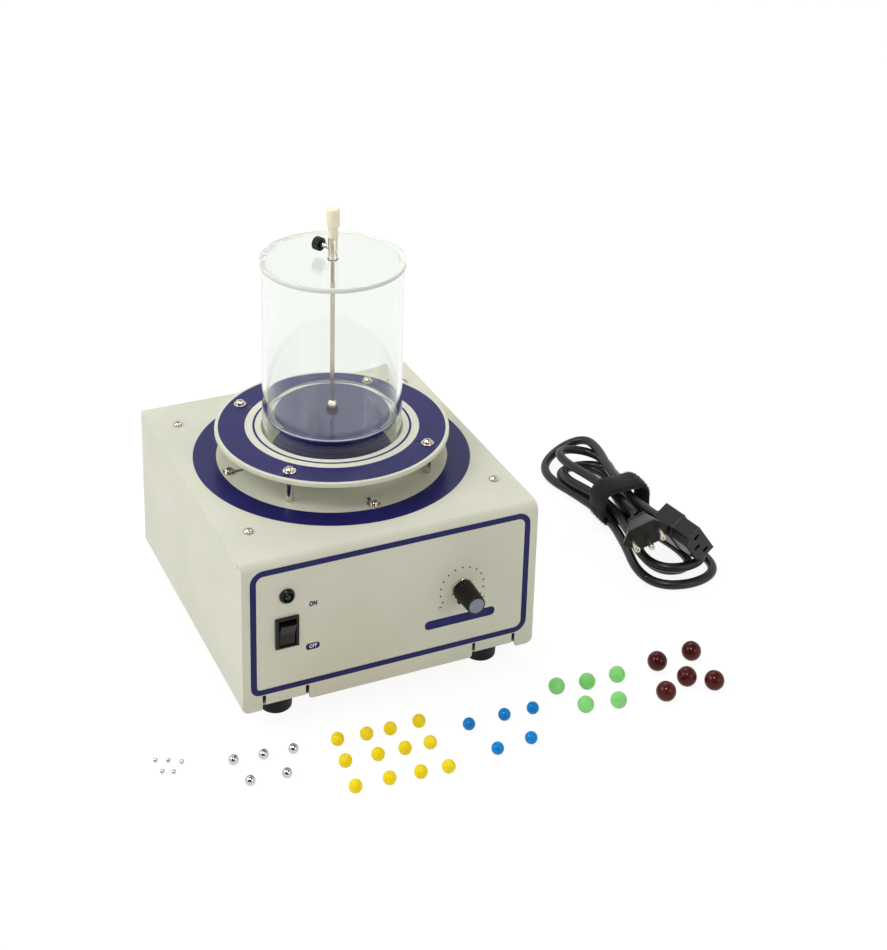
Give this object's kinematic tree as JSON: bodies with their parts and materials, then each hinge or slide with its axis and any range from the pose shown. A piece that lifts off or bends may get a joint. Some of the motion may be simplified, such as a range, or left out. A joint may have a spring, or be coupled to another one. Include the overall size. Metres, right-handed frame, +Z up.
{
  "type": "kinetic theory apparatus",
  "caption": "Bench vibrator in a sheet-metal cabinet under a clear tube with a sliding piston, with loose balls that model gas molecules and a mains lead.",
  "frame": {"origin": "on the table under the middle of the cabinet, in the plane of the feet", "axes": "+Z up, the front panel with the controls faces -Y, +X to the right of somebody who faces that panel"},
  "size_m": [0.4239, 0.3069, 0.2864],
  "materials": {
    "case_paint": "fine textured warm light grey paint",
    "steel": "plain steel",
    "plated": "bright nickel plate",
    "black_rubber": "matt black rubber",
    "black_plastic": "black moulded plastic",
    "black_matt": "matt black plastic",
    "core": "varnished laminations",
    "copper": "enamelled copper wire under tape",
    "board": "green laminate with its components",
    "aluminium": "plain aluminium",
    "basket_paint": "black paint",
    "ferrite": "sintered ferrite",
    "cone_paper": "black pressed paper",
    "spider_cloth": "impregnated corrugated cloth",
    "blue_disc": "navy plastic",
    "ring_print": "off-white sheet with a navy print",
    "acrylic": "clear acrylic",
    "cap_cream": "cream soft plastic",
    "lamp": "dark green lens, unlit",
    "knob_cap_grey": "grey-blue cap",
    "ball_steel": "polished steel balls",
    "ball_yellow": "yellow plastic",
    "ball_blue": "blue plastic",
    "ball_green": "green plastic",
    "ball_brown": "dark red-brown plastic",
    "cord_jacket": "black cord jacket",
    "strap_cloth": "black hook-and-loop tape",
    "pin_plate": "nickel-plated brass"
  },
  "bodies": {
    "cabinet": {"case_cover": "case_paint", "base_chassis": "case_paint", "corner_pillars": "steel", "corner_screws": "plated", "rubber_feet": "black_rubber", "foot_screws": "steel", "inlet_housing": "black_plastic", "inlet_pins": "pin_plate", "inlet_screws": "plated", "transformer_core": "core", "transformer_winding": "copper", "circuit_board": "board", "heat_sink": "aluminium", "driver_basket": "basket_paint", "driver_front_plate": "steel", "driver_magnet": "ferrite", "driver_pole_piece": "steel", "driver_spider": "spider_cloth", "driver_surround": "black_rubber", "driver_washers": "plated", "driver_screws": "plated", "ring_plate": "ring_print", "ring_posts": "plated", "ring_washers": "plated", "ring_screws": "plated", "led_holder": "black_plastic", "led": "lamp", "switch_housing": "black_plastic", "potentiometer": "steel", "pot_nut": "plated", "power_cord": "cord_jacket", "cord_connector": "black_matt", "cord_plug": "black_matt", "plug_pins": "pin_plate", "cord_strap": "strap_cloth"},
    "vibrator": {"driver_cone": "cone_paper", "voice_coil": "cone_paper", "drive_spindle": "aluminium", "vibrating_disc": "blue_disc"},
    "tube_unit": {"tube": "acrylic", "tube_lid": "acrylic", "guide_sleeve": "plated"},
    "piston": {"piston_rod": "plated", "piston_disc": "acrylic", "piston_washer": "plated", "piston_nut": "plated", "rod_cap": "cap_cream"},
    "thumb_screw": {"thumb_screw_stud": "plated", "thumb_screw_grip": "plated"},
    "amplitude_knob": {"knob": "black_matt", "knob_cap": "knob_cap_grey", "pot_shaft": "steel"},
    "power_rocker": {"switch_rocker": "black_plastic"},
    "fuse_holder": {"fuse_drawer": "black_plastic"},
    "small_steel_balls": {"balls_small_steel": "ball_steel"},
    "steel_balls": {"balls_steel": "ball_steel"},
    "yellow_balls": {"balls_yellow": "ball_yellow"},
    "blue_balls": {"balls_blue": "ball_blue"},
    "green_balls": {"balls_green": "ball_green"},
    "brown_balls": {"balls_brown": "ball_brown"}
  },
  "joints": [
    {"name": "disc_vibration", "type": "slide", "parent": "cabinet", "child": "vibrator", "axis": [0, 0, 1], "range_m": [-0.0025, 0.0025], "stiffness_N_per_m": 1500},
    {"name": "tube_lift", "type": "slide", "parent": "cabinet", "child": "tube_unit", "axis": [0, 0, 1], "range_m": [0, 0.15]},
    {"name": "piston_slide", "type": "slide", "parent": "tube_unit", "child": "piston", "axis": [0, 0, 1], "range_m": [0, 0.09]},
    {"name": "thumb_screw_turn", "type": "hinge", "parent": "tube_unit", "child": "thumb_screw", "pos_m": [0.00175, 0.00375, 0.2596], "axis": [-0.4848, 0.8746, 0], "range_deg": [0, 360]},
    {"name": "amplitude_turn", "type": "hinge", "parent": "cabinet", "child": "amplitude_knob", "pos_m": [0.0463, -0.1035, 0.0664], "axis": [0, 1, 0], "range_deg": [0, 300]},
    {"name": "power_rock", "type": "hinge", "parent": "cabinet", "child": "power_rocker", "pos_m": [-0.0693, -0.1005, 0.0651], "axis": [-1, 0, 0], "range_deg": [0, 24]},
    {"name": "fuse_pull", "type": "slide", "parent": "cabinet", "child": "fuse_holder", "axis": [0, 1, 0], "range_m": [0, 0.015]},
    {"name": "small_steel_balls_lift", "type": "slide", "parent": "cabinet", "child": "small_steel_balls", "axis": [0, 0, 1], "range_m": [0, 0.05]},
    {"name": "steel_balls_lift", "type": "slide", "parent": "cabinet", "child": "steel_balls", "axis": [0, 0, 1], "range_m": [0, 0.05]},
    {"name": "yellow_balls_lift", "type": "slide", "parent": "cabinet", "child": "yellow_balls", "axis": [0, 0, 1], "range_m": [0, 0.05]},
    {"name": "blue_balls_lift", "type": "slide", "parent": "cabinet", "child": "blue_balls", "axis": [0, 0, 1], "range_m": [0, 0.05]},
    {"name": "green_balls_lift", "type": "slide", "parent": "cabinet", "child": "green_balls", "axis": [0, 0, 1], "range_m": [0, 0.05]},
    {"name": "brown_balls_lift", "type": "slide", "parent": "cabinet", "child": "brown_balls", "axis": [0, 0, 1], "range_m": [0, 0.05]}
  ]
}
